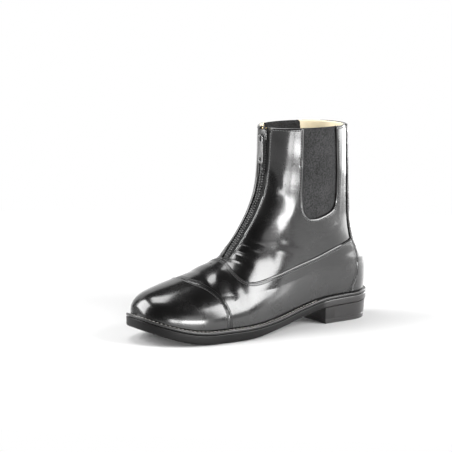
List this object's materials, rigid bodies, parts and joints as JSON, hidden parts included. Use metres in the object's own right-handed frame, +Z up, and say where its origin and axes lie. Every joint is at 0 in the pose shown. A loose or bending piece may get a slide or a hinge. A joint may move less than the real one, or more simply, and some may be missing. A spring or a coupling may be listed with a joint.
{
  "type": "paddock boot",
  "caption": "Ankle-high black paddock boot for the left foot, with a front zip, capped toe, elastic sides, stitched welt and low stacked heel.",
  "frame": {"origin": "on the ground, at the middle of the heel's resting face", "axes": "+Z up, the toe points along -Y and the heel's back along +Y, +X is the wearer's left, the outer side of this left boot"},
  "size_m": [0.0983, 0.2875, 0.2102],
  "materials": {
    "upper_leather": "polished, fine grain, high gloss",
    "welt": "dyed black, satin, stitched",
    "sole": "black, satin edge",
    "lining": "smooth cream lining leather",
    "elastic": "ribbed black elastic",
    "zip_tape": "woven black tape",
    "zip_metal": "grey, satin"
  },
  "bodies": {
    "boot": {"outsole": "sole", "welt": "welt", "heel_block": "sole", "insole": "lining", "upper": "upper_leather", "toe_cap": "upper_leather", "vamp_galosh": "upper_leather", "backstay": "upper_leather", "gore_lateral": "elastic", "gore_medial": "elastic", "zip_tape": "zip_tape", "zip_chain": "zip_metal", "zip_slider": "zip_metal"},
    "puller": {"zip_puller": "zip_metal"}
  },
  "joints": [
    {"name": "puller_swing", "type": "hinge", "parent": "boot", "child": "puller", "pos_m": [0, -0.09861, 0.20011], "axis": [-1, 0, 0], "range_deg": [0, 165]}
  ]
}
